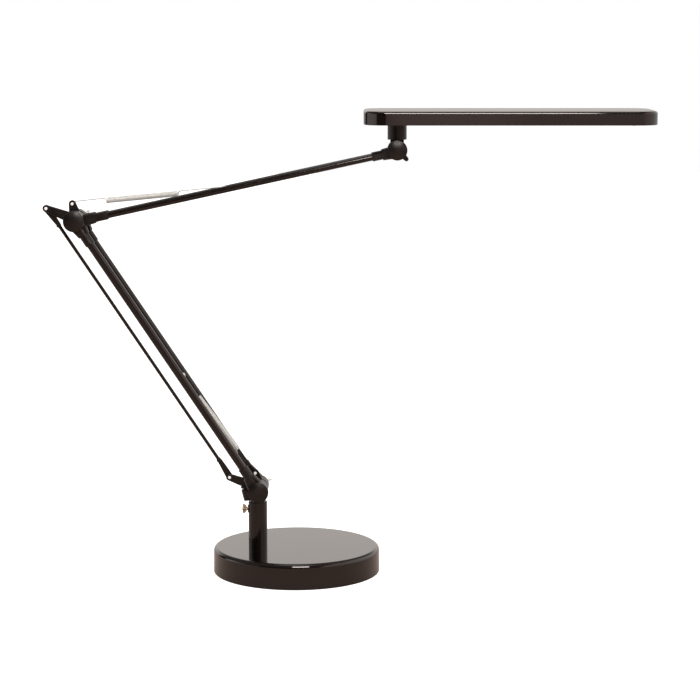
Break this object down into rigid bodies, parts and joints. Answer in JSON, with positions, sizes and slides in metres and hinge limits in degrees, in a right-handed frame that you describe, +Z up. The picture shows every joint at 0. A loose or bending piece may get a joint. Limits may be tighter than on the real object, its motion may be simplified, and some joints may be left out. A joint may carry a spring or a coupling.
{
  "type": "desk lamp",
  "caption": "Desk lamp: round weighted base, short post, two spring-balanced twin-tube arms and a flat rectangular light head that tilts and swivels.",
  "frame": {"origin": "centre of the foot pad's underside, on the table", "axes": "+Z up, +X along the head away from the post, +Y to the lamp's rear, where the clamp nuts are; the lamp stands in the pictured pose"},
  "size_m": [0.7034, 0.195, 0.5411],
  "materials": {
    "gloss_black": "gloss black",
    "black_lacquer": "black lacquer",
    "black_plastic": "satin black",
    "bright_steel": "bright",
    "spring_steel": "plated",
    "rivet_steel": "bright",
    "brass": "satin",
    "weight_iron": "rough cast",
    "pad_rubber": "matt",
    "opal": "opal",
    "board_white": "white board",
    "board_green": "green board",
    "chip_yellow": "yellow",
    "button_grey": "light grey"
  },
  "bodies": {
    "base": {"base_cover": "gloss_black", "base_weight": "weight_iron", "bottom_plate": "bright_steel", "foot_pad": "pad_rubber", "base_screws": "bright_steel", "post_tube": "black_lacquer", "post_foot_plug": "bright_steel", "post_bolt": "bright_steel", "post_bush": "black_plastic"},
    "thumb_screw": {"thumb_screw": "brass"},
    "swivel": {"swivel_block": "black_plastic", "swivel_spigot": "bright_steel", "base_lug_plate": "black_lacquer", "base_lug_rivets": "rivet_steel", "base_hinge_bolt": "bright_steel", "base_hinge_cap": "black_plastic", "base_hinge_washers": "bright_steel", "cord_gland": "black_plastic"},
    "base_clamp": {"base_clamp_nut": "bright_steel"},
    "lower_arm": {"lower_tube_front": "black_lacquer", "lower_tube_rear": "black_lacquer", "lower_base_eye_front": "black_plastic", "lower_base_eye_rear": "black_plastic", "lower_elbow_eye_front": "black_plastic", "lower_elbow_eye_rear": "black_plastic", "lower_spring_pin": "bright_steel", "elbow_bolt": "bright_steel", "elbow_cap": "black_plastic", "elbow_washers": "bright_steel"},
    "elbow_clamp": {"elbow_clamp_nut": "bright_steel"},
    "parallel_rod": {"parallel_rod": "black_lacquer", "rod_base_end": "black_plastic", "rod_elbow_end": "black_plastic"},
    "lower_spring": {"lower_spring": "spring_steel"},
    "lower_link": {"lower_spring_link": "black_plastic"},
    "elbow_plate": {"elbow_lug_plate": "black_lacquer", "elbow_lug_rivets": "rivet_steel"},
    "upper_arm": {"upper_tube_front": "black_lacquer", "upper_tube_rear": "black_lacquer", "upper_elbow_eye_front": "black_plastic", "upper_elbow_eye_rear": "black_plastic", "upper_head_eye_front": "black_plastic", "upper_head_eye_rear": "black_plastic", "upper_spring_pin": "bright_steel", "upper_spring": "spring_steel", "head_hinge_bolt": "bright_steel", "head_hinge_cap": "black_plastic", "head_hinge_washers": "bright_steel"},
    "head_clamp": {"head_clamp_nut": "black_plastic"},
    "head_bracket": {"head_bracket": "black_plastic", "swivel_pin": "bright_steel"},
    "head": {"swivel_barrel": "black_plastic", "head_housing": "gloss_black", "head_bezel": "black_plastic", "light_panel": "opal", "led_board": "board_white", "led_chips": "chip_yellow", "control_board": "board_green", "head_screws": "bright_steel"},
    "switch_button": {"switch_button": "button_grey"}
  },
  "joints": [
    {"name": "base_swivel", "type": "hinge", "parent": "base", "child": "swivel", "pos_m": [-0.0455, 0, 0.082], "axis": [0, 0, 1], "continuous": true},
    {"name": "thumb_screw_turn", "type": "hinge", "parent": "base", "child": "thumb_screw", "pos_m": [-0.0455, 0, 0.074], "axis": [-1, 0, 0], "range_deg": [0, 360]},
    {"name": "lower_arm_tilt", "type": "hinge", "parent": "swivel", "child": "lower_arm", "pos_m": [-0.044, 0, 0.09875], "axis": [0, 1, 0], "range_deg": [-11, 60], "deforming": ["lower_spring"]},
    {"name": "base_clamp_turn", "type": "hinge", "parent": "swivel", "child": "base_clamp", "pos_m": [-0.044, 0.026, 0.09875], "axis": [0, 1, 0], "range_deg": [0, 180]},
    {"name": "rod_turn", "type": "hinge", "parent": "swivel", "child": "parallel_rod", "pos_m": [-0.0785, 0, 0.11175], "axis": [0, 1, 0], "range_deg": [-11, 60]},
    {"name": "lower_link_turn", "type": "hinge", "parent": "swivel", "child": "lower_link", "pos_m": [-0.0481, 0, 0.11725], "axis": [0, 1, 0], "range_deg": [-12.41, 67.68]},
    {"name": "lower_spring_turn", "type": "hinge", "parent": "lower_arm", "child": "lower_spring", "pos_m": [-0.13231, 0, 0.23217], "axis": [0, 1, 0], "range_deg": [-1.41, 7.68]},
    {"name": "elbow_plate_turn", "type": "hinge", "parent": "lower_arm", "child": "elbow_plate", "pos_m": [-0.25318, 0, 0.41479], "axis": [0, 1, 0], "range_deg": [-60, 11]},
    {"name": "elbow_clamp_turn", "type": "hinge", "parent": "lower_arm", "child": "elbow_clamp", "pos_m": [-0.25318, 0.026, 0.41479], "axis": [0, 1, 0], "range_deg": [0, 180]},
    {"name": "upper_arm_tilt", "type": "hinge", "parent": "elbow_plate", "child": "upper_arm", "pos_m": [-0.25318, 0, 0.41479], "axis": [0, 1, 0], "range_deg": [-45, 40], "deforming": ["upper_spring"]},
    {"name": "head_clamp_turn", "type": "hinge", "parent": "upper_arm", "child": "head_clamp", "pos_m": [0.11712, 0.016, 0.49553], "axis": [0, 1, 0], "range_deg": [0, 180]},
    {"name": "head_tilt", "type": "hinge", "parent": "upper_arm", "child": "head_bracket", "pos_m": [0.11712, 0, 0.49553], "axis": [0, 1, 0], "range_deg": [-25, 75]},
    {"name": "head_swivel", "type": "hinge", "parent": "head_bracket", "child": "head", "pos_m": [0.11712, 0, 0.51553], "axis": [0, 0, 1], "range_deg": [-90, 90]},
    {"name": "switch_press", "type": "slide", "parent": "head", "child": "switch_button", "axis": [0, 0, 1], "range_m": [0, 0.0008], "stiffness_N_per_m": 600}
  ],
  "couplings": [
    {"joint": "rod_turn", "follows": "lower_arm_tilt", "ratio": 1},
    {"joint": "elbow_plate_turn", "follows": "lower_arm_tilt", "ratio": -1},
    {"joint": "lower_link_turn", "follows": "lower_arm_tilt", "ratio": 1.128},
    {"joint": "lower_spring_turn", "follows": "lower_arm_tilt", "ratio": 0.128}
  ]
}
